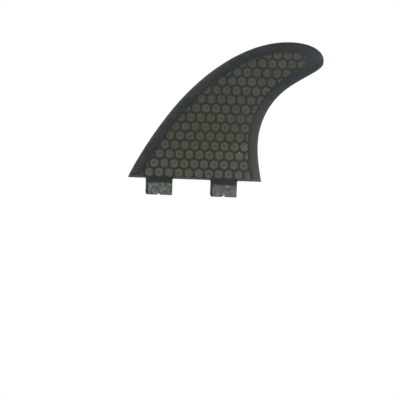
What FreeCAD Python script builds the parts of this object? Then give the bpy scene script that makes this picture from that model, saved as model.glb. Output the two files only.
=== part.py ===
import FreeCAD, Part, Sketcher
import math
import os

# A moulded surfboard fin: a glass and resin laminate, with two base tabs in one piece with it,
# round a mat of six-sided core cells. Millimetres.
# The origin is at the middle of the base, in the plane that seats on the board. +Z runs up to
# the tip, +X from the leading edge to the trailing edge, and Y is the thickness.

Vector = FreeCAD.Vector
doc = FreeCAD.newDocument("surfboard_fin")

SIZES = {
    # Outline: distances behind the leading corner of the base, and above the base
    "base_length": 110.0,
    "lead_root_back": 0.7,
    "lead_root_up": 3.7,
    "lead_low_back": 35.8,
    "lead_low_up": 72.3,
    "lead_high_back": 114.3,
    "lead_high_up": 126.2,
    "tip_back": 157.8,
    "tip_up": 99.2,
    "trail_high_back": 122.1,
    "trail_high_up": 80.2,
    "trail_low_back": 101.6,
    "trail_low_up": 39.0,
    "trail_root_back": 108.0,
    "trail_root_up": 10.6,
    # Outline by the tip: distances behind the tip and above it, and under it along the same line
    "lead_tip_back": 2.5,
    "lead_tip_up": 14.2,
    "tip_under_reach": 6.1,
    # Foil: half thickness at five heights, its share along the chord, and at the very edges
    "root_half": 3.7,
    "low_half": 3.5,
    "middle_half": 2.9,
    "high_half": 2.3,
    "top_half": 1.5,
    "edge_half": 0.45,
    "nose_share": 0.5,
    "front_share": 1.0,
    "middle_share": 1.12,
    "rear_share": 0.72,
    "front_place": 0.12,
    "middle_place": 0.45,
    "rear_place": 0.78,
    # Core mat
    "cell_pitch": 8.2,
    "row_pitch": 7.7,
    "channel_width": 1.4,
    "first_row_up": 5.0,
    "first_row_back": 50.1,
    "rim_width": 8.4,
    "base_rim_width": 1.7,
    "skin_thickness": 0.4,
    "veil_thickness": 0.4,
    "veil_overhang": 0.8,
    # Base tabs
    "tab_length": 22.0,
    "tab_depth": 13.6,
    "tab_thickness": 6.2,
    "tab_spacing": 53.2,
    "front_tab_back": 14.9,
    "tab_lead_corner": 2.2,
    "tab_trail_corner": 0.8,
    "notch_width": 2.5,
    "notch_depth": 1.0,
}

sheet = doc.addObject("Spreadsheet::Sheet", "sizes")
for row, (alias, value) in enumerate(SIZES.items(), start=1):
    sheet.set("A%d" % row, alias)
    sheet.set("B%d" % row, str(value))
    sheet.setAlias("B%d" % row, alias)
doc.recompute()


def size(alias):
    return float(getattr(sheet, alias))


# Base tabs: one outline, padded to both sides of the blade's middle plane and repeated.
# The sketch starts at the tab's own leading corner, in the base plane.
tabs = doc.addObject("PartDesign::Body", "tabs")
middle_plane = next(plane for plane in tabs.Origin.OriginFeatures if plane.Role == "XZ_Plane")
sketch = tabs.newObject("Sketcher::SketchObject", "tab_outline")
sketch.AttachmentSupport = [(middle_plane, "")]
sketch.MapMode = "FlatFace"
sketch.setExpression("AttachmentOffset.Base.x", "sizes.front_tab_back - sizes.base_length / 2")

length, depth = size("tab_length"), size("tab_depth")
lead_corner, trail_corner = size("tab_lead_corner"), size("tab_trail_corner")
half_notch, notch_depth = size("notch_width") / 2, size("notch_depth")
notch_radius = (half_notch ** 2 + notch_depth ** 2) / (2 * notch_depth)
notch_angle = math.asin(half_notch / notch_radius)
notch_start = length / 2 - half_notch
upright = Vector(0, 0, 1)


def line(x1, y1, x2, y2):
    return Part.LineSegment(Vector(x1, y1, 0), Vector(x2, y2, 0))


def arc(x, y, radius, start, end):
    return Part.ArcOfCircle(Part.Circle(Vector(x, y, 0), upright, radius), start, end)


# The lines and arcs by number, and the numbers of their ends
TOP, TRAILING, TRAIL_ARC, REAR_BOTTOM, NOTCH, FRONT_BOTTOM, LEAD_ARC, LEADING = range(8)
START, END = range(1, 3)
ORIGIN = -1
sketch.addGeometry([
    line(0, 0, length, 0),
    line(length, 0, length, trail_corner - depth),
    arc(length - trail_corner, trail_corner - depth, trail_corner, -math.pi / 2, 0),
    line(length - trail_corner, -depth, length / 2 + half_notch, -depth),
    arc(
        length / 2, notch_depth - depth - notch_radius, notch_radius,
        math.pi / 2 - notch_angle, math.pi / 2 + notch_angle,
    ),
    line(notch_start, -depth, lead_corner, -depth),
    arc(lead_corner, lead_corner - depth, lead_corner, math.pi, 3 * math.pi / 2),
    line(0, lead_corner - depth, 0, 0),
])

COINCIDENT = [
    (TOP, START, ORIGIN, START),
    (TOP, END, TRAILING, START),
    (REAR_BOTTOM, END, NOTCH, START),
    (NOTCH, END, FRONT_BOTTOM, START),
    (LEADING, END, TOP, START),
]
TANGENT = [
    (TRAILING, END, TRAIL_ARC, END),
    (TRAIL_ARC, START, REAR_BOTTOM, START),
    (FRONT_BOTTOM, END, LEAD_ARC, END),
    (LEAD_ARC, START, LEADING, START),
]
rules = [Sketcher.Constraint("Coincident", *ends) for ends in COINCIDENT]
rules += [Sketcher.Constraint("Tangent", *ends) for ends in TANGENT]
rules += [Sketcher.Constraint("Horizontal", side) for side in (TOP, REAR_BOTTOM, FRONT_BOTTOM)]
rules += [Sketcher.Constraint("Vertical", side) for side in (TRAILING, LEADING)]
rules += [Sketcher.Constraint("Horizontal", NOTCH, START, NOTCH, END)]
sketch.addConstraint(rules)
DIMENSIONS = [
    ("DistanceX", (TOP, START, TOP, END), length, "sizes.tab_length"),
    ("DistanceY", (REAR_BOTTOM, START, ORIGIN, START), depth, "sizes.tab_depth"),
    ("Radius", (TRAIL_ARC,), trail_corner, "sizes.tab_trail_corner"),
    ("Radius", (LEAD_ARC,), lead_corner, "sizes.tab_lead_corner"),
    ("DistanceX", (NOTCH, END, NOTCH, START), 2 * half_notch, "sizes.notch_width"),
    ("DistanceX", (ORIGIN, START, NOTCH, END), notch_start, "(sizes.tab_length - sizes.notch_width) / 2"),
    (
        "Radius", (NOTCH,), notch_radius,
        "(sizes.notch_width ^ 2 / 4 + sizes.notch_depth ^ 2) / (2 * sizes.notch_depth)",
    ),
]
for kind, ends, value, formula in DIMENSIONS:
    index = sketch.addConstraint(Sketcher.Constraint(kind, *ends, value))
    sketch.setExpression("Constraints[%d]" % index, formula)

tab = tabs.newObject("PartDesign::Pad", "front_tab")
tab.Profile = sketch
tab.SideType = "Symmetric"
tab.setExpression("Length", "sizes.tab_thickness")
doc.recompute()
pair = tabs.newObject("PartDesign::LinearPattern", "tab_pair")
pair.Originals = [tab]
pair.Direction = (sketch, ["H_Axis"])
pair.Occurrences = 2
pair.setExpression("Length", "sizes.tab_spacing")
tabs.Tip = pair
doc.recompute()


# Outline of the blade: two cubic splines that meet at the tip, in line with each other there
def outline_point(back, up):
    return Vector(back - size("base_length") / 2, 0, up)


def outline_points(edge):
    names = ["%s_%s" % (edge, part) for part in ("root", "low", "high")]
    return [outline_point(size(name + "_back"), size(name + "_up")) for name in names]


tip = outline_point(size("tip_back"), size("tip_up"))
lead_tip = tip + Vector(size("lead_tip_back"), 0, size("lead_tip_up"))
under_tip = tip + (tip - lead_tip).normalize() * size("tip_under_reach")
lead = [outline_point(0, 0)] + outline_points("lead") + [lead_tip, tip]
trail = [outline_point(size("base_length"), 0)] + outline_points("trail") + [under_tip, tip]
EDGE_KNOTS = [0, 1 / 3, 2 / 3, 1]
EDGE_REPEATS = [4, 1, 1, 4]
CUBIC = 3


def edge_curve(points):
    curve = Part.BSplineCurve()
    curve.buildFromPolesMultsKnots(points, EDGE_REPEATS, EDGE_KNOTS, False, CUBIC)
    return curve


# Foil section, leading edge first: place along the chord and share of the half thickness.
# The next point stands straight over each end, which rounds the edge.
section = [
    (0, 0),
    (0, size("nose_share")),
    (size("front_place"), size("front_share")),
    (size("middle_place"), size("middle_share")),
    (size("rear_place"), size("rear_share")),
    (1, 0),
    (1, 0),
]
SECTION_KNOTS = [0, 0.25, 0.5, 0.75, 1]
SECTION_REPEATS = [4, 1, 1, 1, 4]
halves = [size(part + "_half") for part in ("root", "low", "middle", "high", "top")]


def flank(side):
    """One flank of the blade, on side 1 or -1: foil sections from the base to a point at the tip."""
    rows = []
    for front, back, half in zip(lead, trail, halves):
        row = [front]
        for place, share in section[1:-1]:
            out = size("edge_half") + half * share
            row.append(front + (back - front) * place + Vector(0, side * out, 0))
        rows.append(row + [back])
    rows.append([tip] * len(section))
    surface = Part.BSplineSurface()
    surface.buildFromPolesMultsKnots(
        rows, EDGE_REPEATS, SECTION_REPEATS, EDGE_KNOTS, SECTION_KNOTS, False, False, CUBIC, CUBIC
    )
    return surface


near_flank, far_flank = flank(-1), flank(1)
faces = [near_flank.toShape(), far_flank.toShape()]
LEVEL = 1e-6
root_edges = [edge for face in faces for edge in face.Edges if edge.BoundBox.ZMax < LEVEL]
faces.append(Part.Face(Part.Wire(Part.sortEdges(root_edges)[0])))
shell = Part.makeShell(faces)
shell.sewShape()
blade = doc.addObject("Part::Feature", "blade")
blade.Shape = Part.Solid(shell)

outer = doc.addObject("Part::Fuse", "outer_form")
outer.Base = blade
outer.Tool = tabs
doc.recompute()


# Core mat: six-sided cells on a staggered grid, joined by a thin veil in the middle plane
def inner_outline(rim, base_rim):
    """A flat face inside the blade's outline, rim in from its edges and base_rim up from its base."""
    steps = 16
    curves = [edge_curve(lead), edge_curve(trail)]
    points = []
    for curve, inward in zip(curves, (1, -1)):
        side = []
        for step in range(steps + 1):
            forward = curve.tangent(step / steps)[0]
            point = curve.value(step / steps) + Vector(forward.z, 0, -forward.x) * rim * inward
            clear = [other.value(other.parameter(point)).distanceToPoint(point) for other in curves]
            if min(clear) > rim - LEVEL:
                side.append(point)
        points += side[::inward]
    face = Part.Face(Part.makePolygon(points + points[:1]))
    box = face.BoundBox
    below = Part.makePolygon([
        Vector(box.XMin, 0, box.ZMin),
        Vector(box.XMax, 0, box.ZMin),
        Vector(box.XMax, 0, base_rim),
        Vector(box.XMin, 0, base_rim),
        Vector(box.XMin, 0, box.ZMin),
    ])
    return face.cut(Part.Face(below))


def cell_outline():
    """A hexagon half a channel inside the lines midway to its six neighbours."""
    across, up = size("cell_pitch"), size("row_pitch")
    neighbours = [(across, 0), (across / 2, up), (-across / 2, up)]
    neighbours += [(-x, -z) for x, z in neighbours]
    walls = []
    for x, z in neighbours:
        away = math.hypot(x, z)
        walls.append((x / away, z / away, away / 2 - size("channel_width") / 2))
    corners = []
    for (ax, az, near), (bx, bz, far) in zip(walls, walls[1:] + walls[:1]):
        cross = ax * bz - az * bx
        corners.append(Vector((near * bz - far * az) / cross, 0, (far * ax - near * bx) / cross))
    return Part.Face(Part.makePolygon(corners + corners[:1]))


def half_thickness(x, z):
    """Half thickness of the blade at a place inside its outline, closed in on in a few steps."""
    height = size("root_half")
    for step in range(3):
        height = far_flank.value(*far_flank.parameter(Vector(x, height, z))).y
    return height


def plate(face, thickness):
    return face.translated(Vector(0, -thickness / 2, 0)).extrude(Vector(0, thickness, 0))


window = inner_outline(size("rim_width"), size("base_rim_width"))
cell = cell_outline()
grid_box = window.BoundBox
cells = []
rows = math.ceil((grid_box.ZMax - size("first_row_up")) / size("row_pitch")) + 1
for row in range(rows):
    first = size("first_row_back") - size("base_length") / 2 + (row % 2) * size("cell_pitch") / 2
    forward = math.ceil((first - grid_box.XMin) / size("cell_pitch"))
    backward = math.ceil((grid_box.XMax - first) / size("cell_pitch"))
    for column in range(-forward, backward + 1):
        x = first + column * size("cell_pitch")
        z = size("first_row_up") + row * size("row_pitch")
        cells.append(cell.translated(Vector(x, 0, z)))
trimmed_cells = window.common(Part.makeCompound(cells))

# A cell cut down to under a quarter by the rim is left out, and so is one too thin to stand clear
prisms = []
for face in trimmed_cells.Faces:
    half = min(half_thickness(corner.X, corner.Z) for corner in face.Vertexes) - size("skin_thickness")
    if face.Area > cell.Area / 4 and half > size("veil_thickness"):
        prisms.append(plate(face, 2 * half))
overhang = size("veil_overhang")
veil_outline = inner_outline(size("rim_width") - overhang, size("base_rim_width") - overhang)
veil = plate(veil_outline, size("veil_thickness"))
core = doc.addObject("Part::Feature", "honeycomb_core")
core.Shape = veil.multiFuse(prisms).Solids[0]

# Laminate: the outer form, closed all round the core, which fills the hollow inside
laminate = doc.addObject("Part::Feature", "moulded_laminate")
hollow = core.Shape.Shells[0].reversed()
laminate.Shape = Part.Solid(Part.makeCompound([outer.Shape.Shells[0], hollow]))

doc.recompute()
for item in doc.Objects:
    if "Invalid" in item.State or "Error" in item.State:
        raise RuntimeError("%s did not build: %s" % (item.Name, item.State))
PIECES = [laminate, core]
for piece in PIECES:
    if piece.Shape.isNull() or not piece.Shape.isValid() or len(piece.Shape.Solids) != 1:
        raise RuntimeError("%s is not one sound solid" % piece.Label)
os.makedirs("parts", exist_ok=True)
for piece in PIECES:
    piece.Shape.exportStep("parts/%s.step" % piece.Label)
    print(piece.Label, "%.1f mm3" % piece.Shape.Volume)
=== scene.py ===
import math
import random

import bpy
from mathutils import Matrix, Vector
from mathutils.bvhtree import BVHTree
from mathutils.kdtree import KDTree


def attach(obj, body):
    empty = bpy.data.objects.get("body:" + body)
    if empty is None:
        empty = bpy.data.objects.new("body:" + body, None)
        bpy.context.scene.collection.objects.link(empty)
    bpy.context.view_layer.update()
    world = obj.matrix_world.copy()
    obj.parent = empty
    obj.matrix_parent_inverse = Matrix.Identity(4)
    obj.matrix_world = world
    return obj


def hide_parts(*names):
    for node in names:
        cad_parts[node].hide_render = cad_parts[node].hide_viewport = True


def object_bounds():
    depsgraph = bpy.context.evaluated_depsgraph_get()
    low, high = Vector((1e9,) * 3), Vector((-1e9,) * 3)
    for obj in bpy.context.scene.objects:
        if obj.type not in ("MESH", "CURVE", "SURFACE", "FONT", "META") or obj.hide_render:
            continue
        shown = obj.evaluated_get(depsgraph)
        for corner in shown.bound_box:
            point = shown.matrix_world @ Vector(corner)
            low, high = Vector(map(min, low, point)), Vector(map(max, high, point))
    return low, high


# A moulded surfboard fin: dark glass laminate with two base tabs, a clear skin over its middle, and
# six-sided foam cells under that skin. Metres; +Z to the tip, +X to the trailing edge, Y the thickness.

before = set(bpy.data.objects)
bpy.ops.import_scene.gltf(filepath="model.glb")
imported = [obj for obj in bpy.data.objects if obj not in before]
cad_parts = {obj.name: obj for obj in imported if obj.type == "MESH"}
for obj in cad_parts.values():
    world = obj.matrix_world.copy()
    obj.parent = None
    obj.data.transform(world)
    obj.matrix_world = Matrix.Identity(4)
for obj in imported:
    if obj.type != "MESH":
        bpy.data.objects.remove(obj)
cad_low, cad_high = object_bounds()

MM = 0.001

# Blade outline: control points behind the leading corner of the base, and above the base
BASE_LENGTH = -2 * cad_low.x
TIP = Vector((157.8, 99.2)) * MM
OVER_TIP = TIP + Vector((2.5, 14.2)) * MM
UNDER_TIP = TIP + (TIP - OVER_TIP).normalized() * 6.1 * MM
LEAD = [Vector((0, 0)), Vector((0.7, 3.7)) * MM, Vector((35.8, 72.3)) * MM, Vector((114.3, 126.2)) * MM]
LEAD += [OVER_TIP, TIP]
TRAIL = [Vector((BASE_LENGTH, 0)), Vector((108.0, 10.6)) * MM, Vector((101.6, 39.0)) * MM]
TRAIL += [Vector((122.1, 80.2)) * MM, UNDER_TIP, TIP]

# Foil: half thickness at each pair of control points, and its shares along the chord
EDGE_HALF = 0.45 * MM
HALVES = [3.7 * MM, 3.5 * MM, 2.9 * MM, 2.3 * MM, 1.5 * MM]
SECTION = [(0, 0), (0, 0.5), (0.12, 1.0), (0.45, 1.12), (0.78, 0.72), (1, 0), (1, 0)]
CUBIC_ORDER = 4
SPAN_STEPS = 26
CHORD_STEPS = 16
LINE_STEPS = 40

# Core mat
CELL_PITCH = 8.2 * MM
ROW_PITCH = 7.7 * MM
CELL_WIDTH = 6.9 * MM
CELL_HEIGHT = 8.4 * MM
CELL_SIDE = 4.6 * MM
CELL_ROUNDING = 1.35 * MM
CELL_CORNER_SEGMENTS = 3
CELL_CORNERS = [
    (0, CELL_HEIGHT / 2), (-CELL_WIDTH / 2, CELL_SIDE / 2), (-CELL_WIDTH / 2, -CELL_SIDE / 2),
    (0, -CELL_HEIGHT / 2), (CELL_WIDTH / 2, -CELL_SIDE / 2), (CELL_WIDTH / 2, CELL_SIDE / 2),
]
FIRST_ROW_UP = 5.0 * MM
FIRST_ROW_BACK = 50.1 * MM
CORE_RIM = 8.4 * MM
CORE_BASE_RIM = 0.5 * MM
CORE_TIP_RIM = 14.2 * MM
WINDOW_RIM = 7.4 * MM
WINDOW_BASE_RIM = 0.3 * MM
WINDOW_TIP_RIM = 13.2 * MM
SKIN_DEPTH = 0.3 * MM
SHOULDER_DEPTH = 0.42 * MM
SHOULDER_INSET = 0.12 * MM
FACE_INSET = 0.5 * MM
RESIN_DEPTH = 0.6 * MM
RESIN_UNDER_RIM = 0.6 * MM
RESIN_SLOPE = 1.5 * MM
LEAST_RESIN_SHARE = 0.6
MOST_SUNK = 0.9
LEAST_HALF = 0.1 * MM
TONE_SEED = 7

# Base tabs
TAB_COUNT = 2
TAB_LENGTH = 22.0 * MM
TAB_DEPTH = -cad_low.z
TAB_THICKNESS = 6.2 * MM
TAB_SPACING = 53.2 * MM
FRONT_TAB_BACK = 14.9 * MM
TAB_LEAD_CORNER = 2.2 * MM
TAB_TRAIL_CORNER = 0.8 * MM
TAB_CORNER_SEGMENTS = 4
TAB_EDGE_ROUNDING = 0.35 * MM
TAB_EDGE_SEGMENTS = 3
TAB_FLARE = 1.0 * MM
FLARE_STEPS = 5
TAB_OVERLAP = 0.05 * MM
FOOT_TOP = 1.1 * TAB_EDGE_ROUNDING - TAB_DEPTH
LONG_EDGE = 4 * TAB_EDGE_ROUNDING
FOOT_CUTS = 27
FRAYING = 0.25 * MM
NOTCH_WIDTH = 2.5 * MM
NOTCH_DEPTH = 1.0 * MM
NOTCH_SIDES = 32

# Reach of the finishes: the dark band at the top of each tab, how near the tip the core fades into the
# rim, and the fields of yellower and of glinting cells
DARK_BAND = 3.8 * MM
TIP_FADE_CLOSE = 14.0 * MM
TIP_FADE_FAR = 18.0 * MM
OLIVE_MIDDLE = (9 * MM, 0, 32 * MM)
OLIVE_REACH = 42 * MM
GLINT_MIDDLE = (40 * MM, 0, 24 * MM)
GLINT_REACH = 12 * MM

# Two places closer than TOUCH are the same place, and vertices closer than MERGE_GAP become one
TOUCH = 0.001 * MM
MERGE_GAP = 0.0001 * MM

# Flat models reach this far to each side of the middle plane before they are cut or laid to the foil
FLAT_MODEL_HALF = 20 * MM

# Faces that meet at less than this angle are shaded as one curve
SMOOTH_ANGLE = math.radians(40)

# Least part of a face's normal along an axis to look that way, and the part of a rim's width that
# counts as clear of the rim
FACING = 0.9
FLANKWARD = 0.5
CLEAR_OF_RIM = 0.995

# Camera, lamps and floor. Each lamp: name, place from the fin's middle, width, power and colour
PICTURE_WIDTH = 330 * MM
PICTURE_MIDDLE = Vector((5.1, 0, -16.7)) * MM
ROLL = math.radians(-2.063)
LENS = 135
LAMPS = [
    ("key", (0.55, -0.9, 0.1), 0.6, 2.6, (1.0, 0.99, 0.96)),
    ("fill", (-0.7, -0.6, 0.7), 0.8, 3.0, (0.96, 0.98, 1.0)),
    ("back", (0.2, 0.9, 0.6), 0.8, 4.0, (1.0, 1.0, 1.0)),
]
SKY_LIGHT = 0.7
FLOOR_SIZE = 6.0
FLOOR_GAP = 0.05 * MM


# Modelling helpers
def start_over():
    """Object mode, with nothing selected."""
    if bpy.context.mode != "OBJECT":
        bpy.ops.object.mode_set(mode="OBJECT")
    bpy.ops.object.select_all(action="DESELECT")


def name_active(name):
    """The primitive or surface that was just made, under its own name."""
    piece = bpy.context.active_object
    piece.name = name
    piece.data.name = name
    return piece


def make_active(piece):
    start_over()
    piece.select_set(True)
    bpy.context.view_layer.objects.active = piece


def edit(piece, kind="VERT"):
    """Edit mode on this piece alone, until done."""
    make_active(piece)
    bpy.ops.object.mode_set(mode="EDIT")
    bpy.ops.mesh.select_mode(type=kind)


def select(piece, kind, wanted):
    """Selects the vertices, edges or faces that wanted says yes to, with edit mode left and entered."""
    bpy.ops.mesh.select_all(action="DESELECT")
    bpy.ops.mesh.select_mode(type=kind)
    bpy.ops.object.mode_set(mode="OBJECT")
    mesh = piece.data
    group = {"VERT": mesh.vertices, "EDGE": mesh.edges, "FACE": mesh.polygons}[kind]
    for item in group:
        item.select = bool(wanted(item))
    bpy.ops.object.mode_set(mode="EDIT")


def done():
    bpy.ops.object.mode_set(mode="OBJECT")


def settle(piece):
    """Puts the piece's own place into its mesh, so that its object lies at the origin."""
    make_active(piece)
    bpy.ops.object.transform_apply(location=True, rotation=True, scale=True)


def boolean(piece, tool, operation):
    """One closed form cut by, joined to or kept inside another, which is then removed."""
    make_active(piece)
    cut = piece.modifiers.new("cut", "BOOLEAN")
    cut.operation = operation
    cut.solver = "EXACT"
    cut.object = tool
    bpy.ops.object.modifier_apply(modifier=cut.name)
    bpy.data.objects.remove(tool)


def tidy_mesh(piece):
    """Doubles merged, then every face turned outwards."""
    edit(piece)
    bpy.ops.mesh.select_all(action="SELECT")
    bpy.ops.mesh.remove_doubles(threshold=MERGE_GAP)
    bpy.ops.mesh.normals_make_consistent(inside=False)
    done()


def outline_place(point, y=0.0):
    """The place in the frame of a point given behind the leading corner and above the base."""
    return Vector((point.x - BASE_LENGTH / 2, y, point.y))


# Blade
def foil_rows(side):
    """Control points of one flank: a foil section for each pair of outline points, base first."""
    rows = []
    for front, back, half in zip(LEAD, TRAIL, HALVES):
        row = [outline_place(front)]
        for place, share in SECTION[1:-1]:
            out = side * (EDGE_HALF + half * share)
            row.append(outline_place(front + (back - front) * place, out))
        rows.append(row + [outline_place(back)])
    rows.append([outline_place(TIP)] * len(SECTION))
    return rows


def loft(name, rows):
    """A smooth surface through foil sections, as a mesh."""
    surface = bpy.data.curves.new(name, "SURFACE")
    surface.dimensions = "3D"
    for row in rows:
        spline = surface.splines.new("NURBS")
        spline.points.add(len(row) - 1)
        for point, place in zip(spline.points, row):
            point.co = (*place, 1)
    piece = bpy.data.objects.new(name, surface)
    bpy.context.scene.collection.objects.link(piece)
    make_active(piece)
    bpy.ops.object.mode_set(mode="EDIT")
    bpy.ops.curve.select_all(action="SELECT")
    bpy.ops.curve.make_segment()
    bpy.ops.object.mode_set(mode="OBJECT")
    grid = surface.splines[0]
    for index, point in enumerate(grid.points):
        along, up = divmod(index, len(rows))
        point.co = (*rows[up][along], 1)
    grid.order_u = grid.order_v = CUBIC_ORDER
    grid.use_endpoint_u = grid.use_endpoint_v = True
    surface.resolution_u, surface.resolution_v = SPAN_STEPS, CHORD_STEPS
    grid.resolution_u, grid.resolution_v = SPAN_STEPS, CHORD_STEPS
    bpy.ops.object.convert(target="MESH")
    return name_active(name)


def make_blade():
    """The blade: one flank lofted, mirrored to the other, and closed along its flat base."""
    blade = loft("fin_laminate", foil_rows(-1))
    mirror = blade.modifiers.new("other_flank", "MIRROR")
    mirror.use_axis = (False, True, False)
    mirror.merge_threshold = TOUCH
    bpy.ops.object.modifier_apply(modifier=mirror.name)
    edit(blade)
    bpy.ops.mesh.select_all(action="SELECT")
    bpy.ops.mesh.remove_doubles(threshold=MERGE_GAP)
    vertices = blade.data.vertices
    select(blade, "EDGE", lambda edge: all(vertices[v].co.z < TOUCH for v in edge.vertices))
    bpy.ops.mesh.edge_face_add()
    bpy.ops.mesh.select_all(action="SELECT")
    bpy.ops.mesh.normals_make_consistent(inside=False)
    done()
    return blade


def spline_line(points):
    """Places along the clamped cubic spline of these outline points."""
    curve = bpy.data.curves.new("edge", "CURVE")
    curve.dimensions = "3D"
    curve.resolution_u = LINE_STEPS
    spline = curve.splines.new("NURBS")
    spline.points.add(len(points) - 1)
    for point, place in zip(spline.points, points):
        point.co = (*outline_place(place), 1)
    spline.order_u = CUBIC_ORDER
    spline.use_endpoint_u = True
    holder = bpy.data.objects.new("edge", curve)
    mesh = bpy.data.meshes.new_from_object(holder)
    places = [vertex.co.copy() for vertex in mesh.vertices]
    bpy.data.objects.remove(holder)
    bpy.data.meshes.remove(mesh)
    return places


LEAD_LINE = spline_line(LEAD)
TRAIL_LINE = spline_line(TRAIL)


def edge_distance(place):
    """How far a place in the middle plane lies from the blade's curved edges."""
    return min((point - place).length for point in LEAD_LINE + TRAIL_LINE)


def inner_line(rim, base_rim, tip_rim):
    """A closed line, rim inside the curved edges, base_rim above the base and tip_rim from the tip."""
    tip = outline_place(TIP)
    points = []
    for line, inward in ((LEAD_LINE, 1), (TRAIL_LINE, -1)):
        side = []
        for before, here, after in zip(line, line[1:], line[2:]):
            forward = (after - before).normalized()
            point = here + Vector((forward.z, 0, -forward.x)) * rim * inward
            at_tip = (point - tip).length < tip_rim
            clear = edge_distance(point) > rim * CLEAR_OF_RIM
            if clear and point.z > base_rim and not at_tip:
                side.append(point)
        foot = side[0].lerp(side[1], (base_rim - side[0].z) / (side[1].z - side[0].z))
        points += ([foot] + side)[::inward]
    return points


def slab(name, line, half):
    """A closed flat form with this outline, reaching half to each side of the middle plane."""
    start_over()
    bpy.ops.mesh.primitive_circle_add(vertices=len(line), fill_type="NGON")
    piece = name_active(name)
    for vertex, place in zip(piece.data.vertices, line):
        vertex.co = (place.x, -half, place.z)
    piece.matrix_world = Matrix.Identity(4)
    edit(piece)
    bpy.ops.mesh.select_all(action="SELECT")
    bpy.ops.mesh.extrude_region_move(TRANSFORM_OT_translate={"value": (0, 2 * half, 0)})
    bpy.ops.mesh.select_all(action="SELECT")
    bpy.ops.mesh.normals_make_consistent(inside=False)
    done()
    return piece


# Tabs
def round_bottom_corner(tab, corner_x, rounding):
    edit(tab, "EDGE")
    vertices = tab.data.vertices

    def bottom_corner(edge):
        ends = [vertices[v].co for v in edge.vertices]
        low = all(abs(end.z + TAB_DEPTH) < TOUCH for end in ends)
        return low and all(abs(end.x - corner_x) < TOUCH for end in ends)

    select(tab, "EDGE", bottom_corner)
    bpy.ops.mesh.bevel(offset=rounding, segments=TAB_CORNER_SEGMENTS, affect="EDGES")
    done()


def soften_flanks(tab):
    """Rounds the edges that run round both flanks, below the flare."""
    edit(tab, "EDGE")
    vertices = tab.data.vertices

    def flank_outline(edge):
        first, second = [vertices[v].co for v in edge.vertices]
        return abs(first.y - second.y) < TOUCH and min(first.z, second.z) < -TAB_FLARE - TOUCH

    select(tab, "EDGE", flank_outline)
    bpy.ops.mesh.bevel(offset=TAB_EDGE_ROUNDING, segments=TAB_EDGE_SEGMENTS, affect="EDGES")
    done()


def flare_top(tab, centre_x):
    """Draws the top out to the base in a quarter round, and then a little into the blade."""
    edit(tab, "FACE")
    select(tab, "FACE", lambda face: face.normal.z > FACING)
    half_length, risen = TAB_LENGTH / 2, 0
    for step in range(1, FLARE_STEPS + 1):
        turn = math.pi / 2 * step / FLARE_STEPS
        wider = TAB_LENGTH / 2 + TAB_FLARE * (1 - math.cos(turn))
        rise = TAB_FLARE * math.sin(turn)
        bpy.ops.mesh.extrude_region_move(TRANSFORM_OT_translate={"value": (0, 0, rise - risen)})
        bpy.ops.transform.resize(value=(wider / half_length, 1, 1), center_override=(centre_x, 0, 0))
        half_length, risen = wider, rise
    bpy.ops.mesh.extrude_region_move(TRANSFORM_OT_translate={"value": (0, 0, TAB_OVERLAP)})
    done()
    tidy_mesh(tab)


def divide_foot(tab):
    """Divides the foot's long edges, so that it can fray."""
    edit(tab, "EDGE")
    vertices = tab.data.vertices

    def long_in_foot(edge):
        first, second = [vertices[v].co for v in edge.vertices]
        return max(first.z, second.z) < FOOT_TOP and abs(first.x - second.x) > LONG_EDGE

    select(tab, "EDGE", long_in_foot)
    bpy.ops.mesh.subdivide(number_cuts=FOOT_CUTS)
    done()


def cut_notch(tab, centre_x):
    """A shallow round notch across the middle of the foot."""
    start_over()
    radius = ((NOTCH_WIDTH / 2) ** 2 + NOTCH_DEPTH ** 2) / (2 * NOTCH_DEPTH)
    bpy.ops.mesh.primitive_cylinder_add(
        vertices=NOTCH_SIDES, radius=radius, depth=2 * TAB_THICKNESS,
        location=(centre_x, 0, NOTCH_DEPTH - TAB_DEPTH - radius), rotation=(math.pi / 2, 0, 0),
    )
    notch = name_active("notch")
    settle(notch)
    boolean(tab, notch, "DIFFERENCE")
    tidy_mesh(tab)


def fray_foot(tab, seed):
    """Moves the foot's vertices a little, and none of them below the tab's depth."""
    edit(tab)
    select(tab, "VERT", lambda vertex: vertex.co.z < FOOT_TOP)
    bpy.ops.transform.vertex_random(offset=FRAYING, seed=seed)
    done()
    for vertex in tab.data.vertices:
        vertex.co.z = max(vertex.co.z, -TAB_DEPTH)


def make_tab(back, seed):
    """One base tab: a block flared into the base, with round bottom corners, a notch and a frayed foot."""
    start_over()
    height = TAB_DEPTH - TAB_FLARE
    bpy.ops.mesh.primitive_cube_add(size=1)
    tab = name_active("tab")
    centre_x = back - BASE_LENGTH / 2 + TAB_LENGTH / 2
    tab.scale = (TAB_LENGTH, TAB_THICKNESS, height)
    tab.location = (centre_x, 0, -TAB_FLARE - height / 2)
    settle(tab)
    for side, rounding in ((-1, TAB_LEAD_CORNER), (1, TAB_TRAIL_CORNER)):
        round_bottom_corner(tab, centre_x + side * TAB_LENGTH / 2, rounding)
    soften_flanks(tab)
    flare_top(tab, centre_x)
    divide_foot(tab)
    cut_notch(tab, centre_x)
    fray_foot(tab, seed)
    return tab


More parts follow.
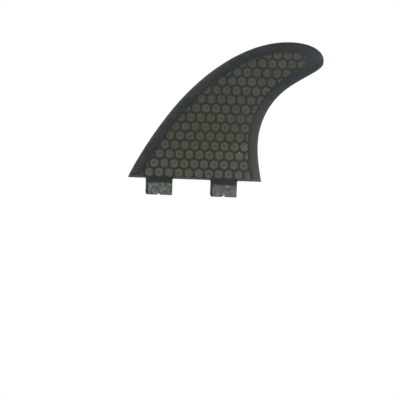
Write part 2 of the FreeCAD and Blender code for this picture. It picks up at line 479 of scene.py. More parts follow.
# Core cells
def make_cell():
    """One foam cell: a six-sided prism with round corners and a soft shoulder at both faces."""
    start_over()
    bpy.ops.mesh.primitive_circle_add(
        vertices=len(CELL_CORNERS), radius=1, fill_type="NGON", rotation=(math.pi / 2, 0, 0)
    )
    cell = name_active("cell")
    settle(cell)
    for vertex, (x, z) in zip(cell.data.vertices, CELL_CORNERS):
        vertex.co = (x, 0, z)
    edit(cell)
    bpy.ops.mesh.select_all(action="SELECT")
    bpy.ops.mesh.bevel(
        offset=CELL_ROUNDING, offset_type="OFFSET", segments=CELL_CORNER_SEGMENTS, affect="VERTICES"
    )
    bpy.ops.mesh.select_all(action="SELECT")
    half = FLAT_MODEL_HALF - RESIN_DEPTH
    bpy.ops.transform.translate(value=(0, -half, 0))
    bpy.ops.mesh.extrude_region_move(TRANSFORM_OT_translate={"value": (0, 2 * half, 0)})
    bpy.ops.mesh.select_all(action="SELECT")
    bpy.ops.mesh.normals_make_consistent(inside=False)
    shoulder = (SHOULDER_INSET, RESIN_DEPTH - SHOULDER_DEPTH)
    face_edge = (FACE_INSET, SHOULDER_DEPTH - SKIN_DEPTH)
    for side in (-1, 1):
        select(cell, "FACE", lambda face: face.normal.y * side > FACING)
        for inset, depth in (shoulder, face_edge):
            bpy.ops.mesh.extrude_region_move(TRANSFORM_OT_translate={"value": (0, side * depth, 0)})
            narrower = ((CELL_WIDTH - 2 * inset) / CELL_WIDTH, 1, (CELL_HEIGHT - 2 * inset) / CELL_HEIGHT)
            bpy.ops.transform.resize(value=narrower, center_override=(0, 0, 0))
    done()
    return cell


def crossings(place, line):
    """How often a line to the right of a place crosses a closed outline."""
    count = 0
    for a, b in zip(line, line[1:] + line[:1]):
        if (a.z > place.z) != (b.z > place.z):
            across = a.x + (place.z - a.z) / (b.z - a.z) * (b.x - a.x)
            count += across > place.x
    return count


def cell_places(line):
    """Middles of the cells in staggered rows that reach inside the core's line, row by row."""
    low_x, high_x = min(p.x for p in line), max(p.x for p in line)
    high_z = max(p.z for p in line)
    places = []
    for row in range(math.ceil((high_z - FIRST_ROW_UP) / ROW_PITCH) + 1):
        first = FIRST_ROW_BACK - BASE_LENGTH / 2 + (row % 2) * CELL_PITCH / 2
        forward = math.ceil((first - low_x) / CELL_PITCH)
        backward = math.ceil((high_x - first) / CELL_PITCH)
        for column in range(-forward, backward + 1):
            place = Vector((first + column * CELL_PITCH, 0, FIRST_ROW_UP + row * ROW_PITCH))
            inside = crossings(place, line) % 2 == 1
            if inside or min((p - place).length for p in line) < CELL_HEIGHT / 2:
                places.append(place)
    return places


def follow_foil(piece, surface):
    """Lays a flat model's two faces at their depths under the blade's surface."""
    for vertex in piece.data.vertices:
        depth = FLAT_MODEL_HALF - abs(vertex.co.y)
        start = Vector((vertex.co.x, -FLAT_MODEL_HALF, vertex.co.z))
        hit = surface.ray_cast(start, Vector((0, 1, 0)))[0]
        half = max(-hit.y - depth, LEAST_HALF) if hit else LEAST_HALF
        vertex.co.y = math.copysign(half, vertex.co.y)
    piece.data.update()


def make_cells(places, line, surface):
    """One cell copied to every place, cut along the core's line, then laid to the foil."""
    first_cell = make_cell()
    copies = []
    for place in places:
        copy = bpy.data.objects.new("cell", first_cell.data.copy())
        copy.data.transform(Matrix.Translation(place))
        bpy.context.scene.collection.objects.link(copy)
        copies.append(copy)
    bpy.data.objects.remove(first_cell)
    make_active(copies[0])
    for copy in copies:
        copy.select_set(True)
    bpy.ops.object.join()
    cells = name_active("core_cells")
    boolean(cells, slab("core_cut", line, 2 * FLAT_MODEL_HALF), "INTERSECT")
    follow_foil(cells, surface)
    return cells


# Resin between the cells
def make_resin(blade):
    """Dark resin a little deeper than the cells' faces, which rises towards the window's edge."""
    line = inner_line(WINDOW_RIM - RESIN_UNDER_RIM, WINDOW_BASE_RIM, WINDOW_TIP_RIM - RESIN_UNDER_RIM)
    resin = slab("resin_between_cells", line, 2 * FLAT_MODEL_HALF)
    whole_blade = bpy.data.objects.new("whole_blade", blade.data.copy())
    bpy.context.scene.collection.objects.link(whole_blade)
    boolean(resin, whole_blade, "INTERSECT")
    for vertex in resin.data.vertices:
        inward = min(edge_distance(Vector((vertex.co.x, 0, vertex.co.z))) - WINDOW_RIM, vertex.co.z)
        share = min(max(inward / RESIN_SLOPE, LEAST_RESIN_SHARE), 1)
        sunk = min(RESIN_DEPTH * share, abs(vertex.co.y) * MOST_SUNK)
        vertex.co.y -= math.copysign(sunk, vertex.co.y)
    return resin


# Node helpers
def paint(red, green, blue):
    """A colour given from 0 to 255, as Blender's linear colour."""
    values = [channel / 255 for channel in (red, green, blue)]
    return (*[v / 12.92 if v <= 0.04045 else ((v + 0.055) / 1.055) ** 2.4 for v in values], 1.0)


def add_node(tree, kind, values=None, **settings):
    """A node with its settings, then its inputs: numbers are set, and sockets are linked."""
    node = tree.nodes.new(kind)
    for name, value in settings.items():
        setattr(node, name, value)
    for name, value in (values or {}).items():
        if isinstance(value, bpy.types.NodeSocket):
            tree.links.new(value, node.inputs[name])
        else:
            node.inputs[name].default_value = value
    return node


def maths(tree, operation, first, second=0.0):
    return add_node(tree, "ShaderNodeMath", {0: first, 1: second}, operation=operation).outputs[0]


def vector_maths(tree, operation, first, second):
    """A number for a distance or a dot product, and otherwise a vector."""
    node = add_node(tree, "ShaderNodeVectorMath", {0: first, 1: second}, operation=operation)
    return node.outputs["Value" if operation in ("DISTANCE", "DOT_PRODUCT") else "Vector"]


def ramp_between(tree, value, low, high, out_low=0.0, out_high=1.0):
    values = {"Value": value, "From Min": low, "From Max": high, "To Min": out_low, "To Max": out_high}
    return add_node(tree, "ShaderNodeMapRange", values, interpolation_type="SMOOTHSTEP").outputs["Result"]


def blend_colours(tree, share, first, second):
    values = {"Factor": share, 6: first, 7: second}
    return add_node(tree, "ShaderNodeMix", values, data_type="RGBA").outputs[2]


def lay_over(tree, under, mask, strength, over):
    """One colour over another where the mask says, at most as strong as given."""
    return blend_colours(tree, maths(tree, "MULTIPLY", mask, strength), under, over)


def object_place(tree):
    return add_node(tree, "ShaderNodeTexCoord").outputs["Object"]


def split_axes(tree, place):
    return add_node(tree, "ShaderNodeSeparateXYZ", {0: place}).outputs


def noise(tree, place, scale, detail=2.0, roughness=0.5):
    values = {"Vector": place, "Scale": scale, "Detail": detail, "Roughness": roughness}
    return add_node(tree, "ShaderNodeTexNoise", values).outputs["Fac"]


def attribute(tree, name, output="Fac"):
    return add_node(tree, "ShaderNodeAttribute", attribute_name=name).outputs[output]


def new_group(name, inputs, outputs):
    """An empty shader group with named sockets: name to kind and default value."""
    tree = bpy.data.node_groups.new(name, "ShaderNodeTree")
    for label, (kind, value) in inputs.items():
        socket = tree.interface.new_socket(label, in_out="INPUT", socket_type=kind)
        socket.default_value = value
    for label, kind in outputs.items():
        tree.interface.new_socket(label, in_out="OUTPUT", socket_type=kind)
    return tree, tree.nodes.new("NodeGroupInput").outputs, tree.nodes.new("NodeGroupOutput").inputs


def use_group(tree, group, **values):
    """A group in a material: its inputs by name, as numbers, colours or places."""
    node = tree.nodes.new("ShaderNodeGroup")
    node.node_tree = group
    for label, value in values.items():
        node.inputs[label].default_value = value
    return node.outputs


COLOUR, NUMBER = "NodeSocketColor", "NodeSocketFloat"


# Shared effects
def make_resin_tones():
    """Soft wide patches of three tones, and small dark ones where the cloth shows through."""
    tones = {name: (COLOUR, paint(50, 50, 50)) for name in ("First", "Second", "Dark")}
    inputs = {**tones, "Patches": (NUMBER, 45.0), "Darkness": (NUMBER, 0.4)}
    tree, given, out = new_group("resin tones", inputs, {"Color": COLOUR})
    place = object_place(tree)
    wide = ramp_between(tree, noise(tree, place, given["Patches"]), 0.4, 0.6)
    small = noise(tree, place, maths(tree, "MULTIPLY", given["Patches"], 4.0), 3.0, 0.6)
    dark = maths(tree, "MULTIPLY", ramp_between(tree, small, 0.45, 0.7), given["Darkness"])
    both = blend_colours(tree, wide, given["First"], given["Second"])
    tree.links.new(blend_colours(tree, dark, both, given["Dark"]), out["Color"])
    return tree


def make_glass_cloth():
    """A plain woven cloth, as wide as Pitch says from thread to thread: its height and its bright knots."""
    inputs = {"Pitch": (NUMBER, 0.75 * MM), "Waviness": (NUMBER, 0.25 * MM)}
    tree, given, out = new_group("glass cloth", inputs, {"Height": NUMBER, "Knots": NUMBER})
    place = object_place(tree)
    values = {"Vector": place, "Scale": 160.0, "Detail": 2.0}
    drift = add_node(tree, "ShaderNodeTexNoise", values).outputs["Color"]
    values = {0: vector_maths(tree, "SUBTRACT", drift, (0.5, 0.5, 0.5)), "Scale": given["Waviness"]}
    wave = add_node(tree, "ShaderNodeVectorMath", values, operation="SCALE").outputs[0]
    axes = split_axes(tree, vector_maths(tree, "ADD", place, wave))
    turn = maths(tree, "DIVIDE", math.pi, given["Pitch"])
    warp = maths(tree, "SINE", maths(tree, "MULTIPLY", axes["X"], turn))
    weft = maths(tree, "SINE", maths(tree, "MULTIPLY", axes["Z"], turn))
    crossing = maths(tree, "MULTIPLY", warp, weft)
    tree.links.new(ramp_between(tree, crossing, -1.0, 1.0), out["Height"])
    tree.links.new(ramp_between(tree, crossing, 0.0, 0.7), out["Knots"])
    return tree


def make_fibres():
    """Fine broken strands along one direction in the flank, and mottling between them."""
    inputs = {"Turn": (NUMBER, 0.0), "Fineness": (NUMBER, 900.0), "Stretch": (NUMBER, 6.0)}
    tree, given, out = new_group("fibres", inputs, {"Strands": NUMBER, "Mottle": NUMBER})
    place = object_place(tree)
    values = {"Vector": place, "Axis": (0.0, 1.0, 0.0), "Angle": given["Turn"]}
    turned = add_node(tree, "ShaderNodeVectorRotate", values, rotation_type="AXIS_ANGLE").outputs[0]
    squeeze = maths(tree, "DIVIDE", 1.0, given["Stretch"])
    scale = add_node(tree, "ShaderNodeCombineXYZ", {"X": squeeze, "Y": 1.0, "Z": 1.0}).outputs[0]
    drawn = vector_maths(tree, "MULTIPLY", turned, scale)
    strands = noise(tree, drawn, given["Fineness"], 3.0, 0.6)
    tree.links.new(ramp_between(tree, strands, 0.46, 0.68), out["Strands"])
    mottle = noise(tree, place, maths(tree, "MULTIPLY", given["Fineness"], 0.45), 4.0, 0.65)
    tree.links.new(ramp_between(tree, mottle, 0.3, 0.7), out["Mottle"])
    return tree


def make_field():
    """A soft round field in the flank: 1 at Middle, 0 from Reach outwards, with a wandering border."""
    inputs = {"Middle": ("NodeSocketVector", (0, 0, 0)), "Reach": (NUMBER, 0.03)}
    tree, given, out = new_group("soft field", inputs, {"Share": NUMBER})
    place = vector_maths(tree, "MULTIPLY", object_place(tree), (1, 0, 1))
    part = maths(tree, "DIVIDE", vector_maths(tree, "DISTANCE", place, given["Middle"]), given["Reach"])
    ragged = maths(tree, "ADD", part, maths(tree, "MULTIPLY", noise(tree, place, 90.0), 0.5))
    tree.links.new(ramp_between(tree, ragged, 0.35, 1.25, 1.0, 0.0), out["Share"])
    return tree


def make_foot():
    """The blade's foot: pale where it was ground flat, and painted shade just above the two tabs."""
    inputs = {"Height": (NUMBER, 1.8 * MM)}
    tree, given, out = new_group("ground foot and painted tab shade", inputs, {"Pale": NUMBER, "Dark": NUMBER, "Behind": NUMBER})
    place = object_place(tree)
    axes = split_axes(tree, place)
    first_x = FRONT_TAB_BACK - BASE_LENGTH / 2
    margin = 5 * MM
    values = {0: axes["X"], 1: first_x + TAB_SPACING - margin, 2: first_x - margin}
    repeated = add_node(tree, "ShaderNodeMath", values, operation="WRAP").outputs[0]
    behind = maths(tree, "SUBTRACT", repeated, first_x)
    wander = maths(tree, "MULTIPLY", noise(tree, place, 350.0, 3.0), 1.5 * MM)
    height = maths(tree, "SUBTRACT", maths(tree, "ADD", axes["Z"], wander), 0.75 * MM)
    low = ramp_between(tree, maths(tree, "DIVIDE", height, given["Height"]), 0.6, 1.2, 1.0, 0.0)
    from_middle = maths(tree, "ABSOLUTE", maths(tree, "SUBTRACT", behind, TAB_LENGTH / 2))
    over_tab = ramp_between(tree, from_middle, TAB_LENGTH / 2 - 0.5 * MM, TAB_LENGTH / 2 + 1.5 * MM, 1.0, 0.0)
    tree.links.new(maths(tree, "MULTIPLY", low, maths(tree, "SUBTRACT", 1.0, over_tab)), out["Pale"])
    # Dark is painted shade: the blade's foot darkened just above each tab
    tree.links.new(maths(tree, "MULTIPLY", low, over_tab), out["Dark"])
    tree.links.new(behind, out["Behind"])
    return tree


RESIN_TONES = make_resin_tones()
FOOT = make_foot()
GLASS_CLOTH = make_glass_cloth()
FIBRES = make_fibres()
SOFT_FIELD = make_field()

EDGE_NAME, LEAD_NAME, TRAIL_NAME = "edge_distance", "lead_distance", "trail_distance"
TONE_NAME, MIDDLE_NAME = "cell_tone", "cell_middle"


# Material helpers
def new_material(name):
    material = bpy.data.materials.new(name)
    material.use_nodes = True
    tree = material.node_tree
    return material, tree, tree.nodes["Principled BSDF"]


def resin_tones(tree, first, second, dark, **values):
    """The resin's three tones, laid out in patches."""
    return use_group(tree, RESIN_TONES, First=first, Second=second, Dark=dark, **values)["Color"]


def ground_foot_and_painted_tab_shade(tree, colour, pale, dark):
    """A finish's colour with the pale foot over it, and painted shade just above the tabs."""
    foot = use_group(tree, FOOT)
    lit = lay_over(tree, colour, foot["Pale"], 0.85, pale)
    # The dark colour laid here is painted shade just above the tabs
    return lay_over(tree, lit, foot["Dark"], 0.8, dark)


def near_tip(tree, close, far):
    """1 within close of the tip, 0 beyond far."""
    from_tip = vector_maths(tree, "DISTANCE", object_place(tree), outline_place(TIP))
    return ramp_between(tree, from_tip, close, far, 1.0, 0.0)


def bump(tree, shader, height, strength, distance):
    values = {"Height": height, "Strength": strength, "Distance": distance}
    tree.links.new(add_node(tree, "ShaderNodeBump", values).outputs["Normal"], shader.inputs["Normal"])


def feed(tree, shader, **sockets):
    for label, value in sockets.items():
        tree.links.new(value, shader.inputs[label.replace("_", " ")])


def satin_gloss(tree, shader):
    """The same satin finish on rim and window: fine cloth just felt under smooth resin."""
    fibres = use_group(tree, FIBRES, Turn=0.9, Fineness=1100.0, Stretch=4.0)
    cloth = use_group(tree, GLASS_CLOTH)
    bump(tree, shader, maths(tree, "ADD", cloth["Height"], fibres["Mottle"]), 0.12, 0.05 * MM)
    feed(tree, shader, Roughness=ramp_between(tree, fibres["Mottle"], 0.0, 1.0, 0.3, 0.42))


# Finishes
def dark_laminate():
    """The solid rim: slate along its leading edge, a warmer grey low on its trailing edge."""
    material, tree, shader = new_material("dark laminate")
    edge, trail = attribute(tree, EDGE_NAME), attribute(tree, TRAIL_NAME)
    slate = resin_tones(tree, paint(38, 44, 46), paint(42, 43, 51), paint(17, 21, 21), Darkness=0.7)
    warm = resin_tones(tree, paint(51, 52, 45), paint(52, 52, 50), paint(36, 37, 33), Darkness=0.35)
    up = split_axes(tree, object_place(tree))["Z"]
    trailing = ramp_between(tree, trail, 7 * MM, 10 * MM, 1.0, 0.0)
    low_trailing = maths(tree, "MULTIPLY", trailing, ramp_between(tree, up, 45 * MM, 85 * MM, 1.0, 0.0))
    warm_foot = blend_colours(tree, ramp_between(tree, up, 0.0, 30 * MM, 0.35, 0.0), warm, paint(84, 84, 79))
    blue_tip = blend_colours(tree, near_tip(tree, 8 * MM, 45 * MM), slate, paint(31, 41, 46))
    tones = blend_colours(tree, low_trailing, blue_tip, warm_foot)
    cloth = use_group(tree, GLASS_CLOTH)
    fibres = use_group(tree, FIBRES, Fineness=700.0, Stretch=3.0)
    threads = maths(tree, "MULTIPLY", cloth["Knots"], maths(tree, "MULTIPLY", fibres["Mottle"], 0.25))
    woven = blend_colours(tree, threads, tones, paint(66, 68, 66))
    rising = ramp_between(tree, edge, 4 * MM, 7.5 * MM)
    falling = ramp_between(tree, edge, 7.5 * MM, 9 * MM, 0.6, 0.0)
    away_from_tip = maths(tree, "SUBTRACT", 1.0, near_tip(tree, TIP_FADE_CLOSE, TIP_FADE_FAR))
    inner = maths(tree, "MULTIPLY", maths(tree, "MULTIPLY", rising, falling), away_from_tip)
    toward_core = blend_colours(tree, inner, woven, paint(25, 29, 27))
    # Paler along the trailing edge, and a little along the leading edge: partly the thinner laminate there,
    # and partly a painted highlight where the rounded edge catches light
    pale_trail_highlight = ramp_between(tree, trail, 0.2 * MM, 3.0 * MM, 0.5, 0.0)
    pale_edge_highlight = ramp_between(tree, edge, 0.2 * MM, 2.0 * MM, 0.1, 0.0)
    edge_highlighted = blend_colours(tree, maths(tree, "MAXIMUM", pale_trail_highlight, pale_edge_highlight), toward_core, paint(66, 69, 72))
    # The last colour is painted shade on the foot just above the tabs
    feed(tree, shader, Base_Color=ground_foot_and_painted_tab_shade(tree, edge_highlighted, paint(76, 77, 71), paint(30, 35, 35)))
    satin_gloss(tree, shader)
    shader.inputs["Specular IOR Level"].default_value = 0.25
    return material


def clear_skin():
    """The window: a thin clear skin over the core."""
    material, tree, shader = new_material("clear skin")
    feed(tree, shader, Base_Color=resin_tones(tree, paint(26, 28, 25), paint(28, 29, 30), paint(20, 22, 20)))
    satin_gloss(tree, shader)
    shader.inputs["Specular IOR Level"].default_value = 0.9
    shader.inputs["Alpha"].default_value = 0.28
    return material


def resin_bed():
    """Dark resin between the cells, more olive away from the edges."""
    material, tree, shader = new_material("resin bed")
    edge = attribute(tree, EDGE_NAME)
    slate = resin_tones(tree, paint(28, 32, 30), paint(31, 33, 35), paint(20, 23, 21))
    olive = resin_tones(tree, paint(39, 41, 26), paint(36, 37, 28), paint(24, 25, 18))
    tones = blend_colours(tree, ramp_between(tree, edge, 7 * MM, 16 * MM), slate, olive)
    ending = blend_colours(tree, near_tip(tree, TIP_FADE_CLOSE, TIP_FADE_FAR), tones, paint(46, 50, 51))
    # The last colour is painted shade on the foot just above the tabs
    feed(tree, shader, Base_Color=ground_foot_and_painted_tab_shade(tree, ending, paint(96, 97, 89), paint(26, 31, 31)))
    shader.inputs["Roughness"].default_value = 0.6
    shader.inputs["Specular IOR Level"].default_value = 0.1
    return material


def hexagon_share(tree):
    """How far out in its cell a place lies: 0 in the middle, 1 at the cell's sides."""
    middle = attribute(tree, MIDDLE_NAME, "Vector")
    from_middle = vector_maths(tree, "SUBTRACT", object_place(tree), middle)
    corner, top = Vector((CELL_WIDTH / 2, 0, CELL_SIDE / 2)), Vector((0, 0, CELL_HEIGHT / 2))
    slant = (top - corner).normalized()
    upper_side = Vector((slant.z, 0, -slant.x))
    lower_side = Vector((slant.z, 0, slant.x))
    reach = upper_side.dot(corner)
    shares = []
    for across, half in ((Vector((1, 0, 0)), corner.x), (upper_side, reach), (lower_side, reach)):
        out = vector_maths(tree, "DOT_PRODUCT", from_middle, across / half)
        shares.append(maths(tree, "ABSOLUTE", out))
    return maths(tree, "MAXIMUM", maths(tree, "MAXIMUM", shares[0], shares[1]), shares[2])


def cell_tones(tree, tone, other_tone):
    """Each cell its own grey-green, a few browner, olive round the middle, paler towards the base."""
    greys = blend_colours(tree, ramp_between(tree, tone, 0.0, 0.9), paint(75, 78, 70), paint(88, 90, 78))
    tones = blend_colours(tree, ramp_between(tree, tone, 0.93, 0.97), greys, paint(97, 90, 78))
    field = use_group(tree, SOFT_FIELD, Middle=OLIVE_MIDDLE, Reach=OLIVE_REACH)["Share"]
    yellowing = ramp_between(tree, other_tone, 0.2, 0.9, 0.55, 1.0)
    olive = blend_colours(tree, maths(tree, "MULTIPLY", field, yellowing), tones, paint(92, 93, 42))
    up = split_axes(tree, object_place(tree))["Z"]
    return blend_colours(tree, ramp_between(tree, up, 0.0, 45 * MM, 0.6, 0.0), olive, paint(128, 130, 112))


def foam_cells():
    """Foam cells: darker to their sides, mottled by the fibres over them, and a few that glint."""
    material, tree, shader = new_material("foam cells")
    tone = attribute(tree, TONE_NAME)
    other_tone = maths(tree, "FRACT", maths(tree, "MULTIPLY", tone, 7.0))
    tones = cell_tones(tree, tone, other_tone)
    share = hexagon_share(tree)
    spotted = ramp_between(tree, tone, 0.05, 0.6, 0.1, 0.75)
    spot = maths(tree, "MULTIPLY", ramp_between(tree, share, 0.1, 0.55, 1.0, 0.0), spotted)
    middles = blend_colours(tree, spot, tones, paint(56, 58, 47))
    fibres = use_group(tree, FIBRES, Turn=1.57, Fineness=1100.0, Stretch=2.0)
    light = lay_over(tree, middles, fibres["Strands"], 0.5, paint(118, 120, 110))
    mottled = lay_over(tree, light, fibres["Mottle"], 0.5, paint(56, 58, 49))
    cloth = use_group(tree, GLASS_CLOTH, Pitch=1.6 * MM, Waviness=0.5 * MM)
    glints = use_group(tree, SOFT_FIELD, Middle=GLINT_MIDDLE, Reach=GLINT_REACH)["Share"]
    chosen = maths(tree, "MULTIPLY", glints, ramp_between(tree, other_tone, 0.2, 0.7, 0.3, 0.6))
    between = lay_over(tree, mottled, chosen, 0.5, paint(60, 62, 55))
    uneven = maths(tree, "MULTIPLY", cloth["Knots"], ramp_between(tree, fibres["Mottle"], 0.2, 0.9, 1.0, 0.5))
    woven = blend_colours(tree, maths(tree, "MULTIPLY", uneven, chosen), between, paint(205, 205, 195))
    sunk = blend_colours(tree, ramp_between(tree, share, 0.74, 1.0, 0.0, 0.65), woven, paint(34, 36, 28))
    at_lead = ramp_between(tree, attribute(tree, LEAD_NAME), 8 * MM, 11 * MM, 0.75, 0.0)
    at_tip = maths(tree, "MULTIPLY", near_tip(tree, CORE_TIP_RIM, CORE_TIP_RIM + 4 * MM), 0.5)
    soaked = blend_colours(tree, maths(tree, "MAXIMUM", at_lead, at_tip), sunk, paint(38, 46, 43))
    # The last colour is painted shade on the foot just above the tabs
    feed(tree, shader, Base_Color=ground_foot_and_painted_tab_shade(tree, soaked, paint(98, 99, 91), paint(26, 31, 31)))
    bump(tree, shader, fibres["Strands"], 0.4, 0.1 * MM)
    shader.inputs["Roughness"].default_value = 0.8
    shader.inputs["Specular IOR Level"].default_value = 0.1
    return material


def smooth_band_and_shade_strip(tree, behind, wander):
    """1 on the tab's smooth dark resin band under the base, and on a strip of painted shade down the leading
    side, where the rounded edge lies in shadow.
    """
    height = maths(tree, "ADD", split_axes(tree, object_place(tree))["Z"], wander)
    band = ramp_between(tree, height, 0.0 - DARK_BAND, 1.6 * MM - DARK_BAND)
    from_lead = maths(tree, "ADD", behind, maths(tree, "MULTIPLY", wander, 0.4))
    shade_strip_start = ramp_between(tree, from_lead, 0.8 * MM, 1.2 * MM)
    shade_strip_end = ramp_between(tree, from_lead, 1.9 * MM, 2.7 * MM, 1.0, 0.0)
    return maths(tree, "MAXIMUM", band, maths(tree, "MULTIPLY", shade_strip_start, shade_strip_end))


def rough_tab():
    """The tabs: raw grey-green glass with crossed threads, under a dark smooth band, with a strip of painted
    shade down the leading side.
    """
    material, tree, shader = new_material("rough tab")
    place = object_place(tree)
    fibres = use_group(tree, FIBRES, Turn=-0.8, Fineness=1000.0)
    crossed = use_group(tree, FIBRES, Turn=0.75, Fineness=1000.0)
    behind = use_group(tree, FOOT)["Behind"]
    patches = noise(tree, place, 170.0, 3.0, 0.6)
    shifted = maths(tree, "ADD", behind, maths(tree, "MULTIPLY", patches, 8 * MM))
    greening = ramp_between(tree, shifted, 10 * MM, 16 * MM)
    blue_green = blend_colours(tree, greening, paint(88, 93, 97), paint(82, 96, 84))
    raw = blend_colours(tree, ramp_between(tree, shifted, 18 * MM, 24 * MM), blue_green, paint(106, 106, 96))
    streaked = lay_over(tree, raw, fibres["Strands"], 0.75, paint(172, 176, 170))
    hatched = lay_over(tree, streaked, crossed["Strands"], 0.5, paint(158, 162, 156))
    woven = lay_over(tree, hatched, crossed["Mottle"], 0.75, paint(40, 46, 44))
    wander = maths(tree, "MULTIPLY", noise(tree, place, 400.0, 3.0), 1.6 * MM)
    smooth = smooth_band_and_shade_strip(tree, behind, wander)
    dark = resin_tones(tree, paint(31, 43, 36), paint(31, 38, 37), paint(18, 21, 22), Patches=120.0)
    # The dark colour covers the smooth band and also the painted shade strip down each tab's leading side
    feed(tree, shader, Base_Color=blend_colours(tree, smooth, woven, dark))
    feed(tree, shader, Roughness=ramp_between(tree, smooth, 0.0, 1.0, 0.75, 0.32))
    relief = maths(tree, "ADD", fibres["Strands"], fibres["Mottle"])
    bump(tree, shader, maths(tree, "MULTIPLY", relief, maths(tree, "SUBTRACT", 1.0, smooth)), 0.8, 0.15 * MM)
    shader.inputs["Specular IOR Level"].default_value = 0.25
    return material


# Window: its line is cut into both flanks, and the faces inside it become the clear skin
def cut_window(blade, line):
    window = slab("window_cut", line, 2 * FLAT_MODEL_HALF)
    cutter = bpy.data.materials.new("cutter")
    blade.data.materials.append(dark_laminate())
    window.data.materials.append(cutter)
    make_active(blade)
    window.select_set(True)
    bpy.ops.object.join()
    edit(blade, "FACE")
    cutter_slot = blade.data.materials.find(cutter.name)
    select(blade, "FACE", lambda face: face.material_index == cutter_slot)
    bpy.ops.mesh.intersect(mode="SELECT_UNSELECT", separate_mode="CUT", solver="EXACT")
    select(blade, "FACE", lambda face: face.material_index == cutter_slot)
    bpy.ops.mesh.delete(type="FACE")
    bpy.ops.mesh.select_all(action="SELECT")
    bpy.ops.mesh.delete_loose()
    bpy.ops.mesh.select_all(action="SELECT")
    bpy.ops.mesh.remove_doubles(threshold=MERGE_GAP)
    done()
    blade.data.materials.pop(index=cutter_slot)
    bpy.data.materials.remove(cutter)


def finish_blade(blade, line):
    """Clear skin inside the window's line, rough glass on the tabs, dark laminate on the rest."""
    blade.data.materials.append(clear_skin())
    blade.data.materials.append(rough_tab())
    rim_slot, skin_slot, tab_slot = range(3)
    for face in blade.data.polygons:
        below = face.center.z < -TOUCH
        at_base = face.center.z < TOUCH and abs(face.normal.z) < FACING
        face.material_index = rim_slot
        if below or at_base:
            face.material_index = tab_slot
        elif abs(face.normal.y) > FLANKWARD and crossings(face.center, line) % 2:
            face.material_index = skin_slot


# Attributes that the finishes read
def finder_of(places):
    finder = KDTree(len(places))
    for index, place in enumerate(places):
        finder.insert(place, index)
    finder.balance()
    return finder


def write_distance(piece, name, line):
    """Each vertex's distance from a line in the middle plane."""
    finder = finder_of(line)
    layer = piece.data.attributes.new(name, "FLOAT", "POINT")
    for vertex, item in zip(piece.data.vertices, layer.data):
        item.value = finder.find((vertex.co.x, 0, vertex.co.z))[2]


def write_cells(cells, places):
    """Each cell's own tone, from 0 to 1, and its middle."""
    draws = random.Random(TONE_SEED)
    tones = [draws.random() for place in places]
    finder = finder_of(places)
    tone_layer = cells.data.attributes.new(TONE_NAME, "FLOAT", "POINT")
    middle_layer = cells.data.attributes.new(MIDDLE_NAME, "FLOAT_VECTOR", "POINT")
    nearest = [finder.find((vertex.co.x, 0, vertex.co.z))[:2] for vertex in cells.data.vertices]
    for (middle, index), tone_item, middle_item in zip(nearest, tone_layer.data, middle_layer.data):
        tone_item.value = tones[index]
        middle_item.vector = (middle.x, 0, middle.z)


# The fin
core_line = inner_line(CORE_RIM, CORE_BASE_RIM, CORE_TIP_RIM)
window_line = inner_line(WINDOW_RIM, WINDOW_BASE_RIM, WINDOW_TIP_RIM)
blade = make_blade()
blade_surface = BVHTree.FromObject(blade, bpy.context.evaluated_depsgraph_get())
middles = cell_places(core_line)
cells = make_cells(middles, core_line, blade_surface)
resin = make_resin(blade)
for number in range(TAB_COUNT):
    boolean(blade, make_tab(FRONT_TAB_BACK + number * TAB_SPACING, number + 1), "UNION")
cut_window(blade, window_line)
finish_blade(blade, window_line)
cells.data.materials.append(foam_cells())
resin.data.materials.append(resin_bed())

write_distance(blade, EDGE_NAME, LEAD_LINE + TRAIL_LINE)
write_distance(blade, TRAIL_NAME, TRAIL_LINE)
write_distance(resin, EDGE_NAME, LEAD_LINE + TRAIL_LINE)
write_distance(cells, LEAD_NAME, LEAD_LINE)
write_cells(cells, middles)

for piece, node in ((blade, "moulded_laminate"), (resin, "moulded_laminate"), (cells, "honeycomb_core")):
    tidy_mesh(piece)
    make_active(piece)
    bpy.ops.object.shade_smooth_by_angle(angle=SMOOTH_ANGLE)
    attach(piece, "root")
    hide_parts(node)


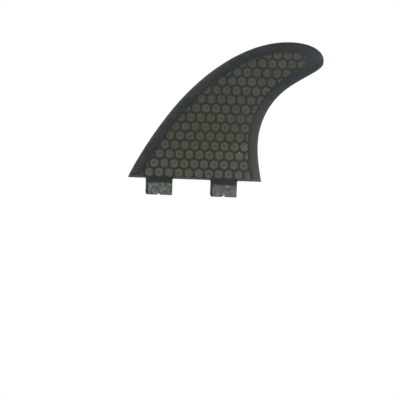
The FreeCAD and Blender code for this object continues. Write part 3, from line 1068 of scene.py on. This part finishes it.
# Camera: straight on to the flank, as far off as a long lens needs to take in the picture's width
def make_camera():
    data = bpy.data.cameras.new("camera")
    data.lens = LENS
    camera = bpy.data.objects.new("camera", data)
    distance = PICTURE_WIDTH * data.lens / data.sensor_width
    place = Matrix.Translation(PICTURE_MIDDLE - Vector((0, distance, 0)))
    looking_along_y = Matrix.Rotation(math.pi / 2, 4, "X")
    camera.matrix_world = place @ Matrix.Rotation(ROLL, 4, "Y") @ looking_along_y
    bpy.context.scene.collection.objects.link(camera)
    bpy.context.scene.camera = camera


# Studio
def soft_light(name, place, target, width, power, colour):
    lamp = bpy.data.lights.new(name, "AREA")
    lamp.size = width
    lamp.energy = power
    lamp.color = colour
    holder = bpy.data.objects.new(name, lamp)
    holder.location = place
    holder.rotation_euler = (target - place).to_track_quat("-Z", "Y").to_euler()
    bpy.context.scene.collection.objects.link(holder)


def make_world():
    """Soft light all round, and white where the camera, gloss or glass sees the background."""
    world = bpy.data.worlds.new("studio")
    bpy.context.scene.world = world
    world.use_nodes = True
    tree = world.node_tree
    sky = tree.nodes["Background"]
    path = add_node(tree, "ShaderNodeLightPath").outputs
    seen = maths(tree, "MAXIMUM", path["Is Camera Ray"], path["Is Transmission Ray"])
    seen = maths(tree, "MAXIMUM", seen, path["Is Glossy Ray"])
    sky.inputs["Color"].default_value = (1, 1, 1, 1)
    tree.links.new(ramp_between(tree, seen, 0.0, 1.0, SKY_LIGHT, 1.0), sky.inputs["Strength"])


def make_floor():
    """A wide pale floor just under the tabs, not seen from below."""
    start_over()
    bpy.ops.mesh.primitive_plane_add(size=FLOOR_SIZE, location=(0, 0, cad_low.z - FLOOR_GAP))
    floor = name_active("floor")
    material, tree, shader = new_material("pale floor")
    shader.inputs["Base Color"].default_value = (0.9, 0.9, 0.9, 1)
    shader.inputs["Roughness"].default_value = 0.9
    below = add_node(tree, "ShaderNodeNewGeometry").outputs["Backfacing"]
    unseen = add_node(tree, "ShaderNodeBsdfTransparent").outputs[0]
    mix = add_node(tree, "ShaderNodeMixShader", {0: below, 1: shader.outputs[0], 2: unseen})
    tree.links.new(mix.outputs[0], tree.nodes["Material Output"].inputs["Surface"])
    floor.data.materials.append(material)


make_camera()
fin_middle = (cad_low + cad_high) / 2
for name, place, width, power, colour in LAMPS:
    soft_light(name, fin_middle + Vector(place), fin_middle, width, power, colour)
make_world()
make_floor()
bpy.context.scene.view_settings.view_transform = "Standard"
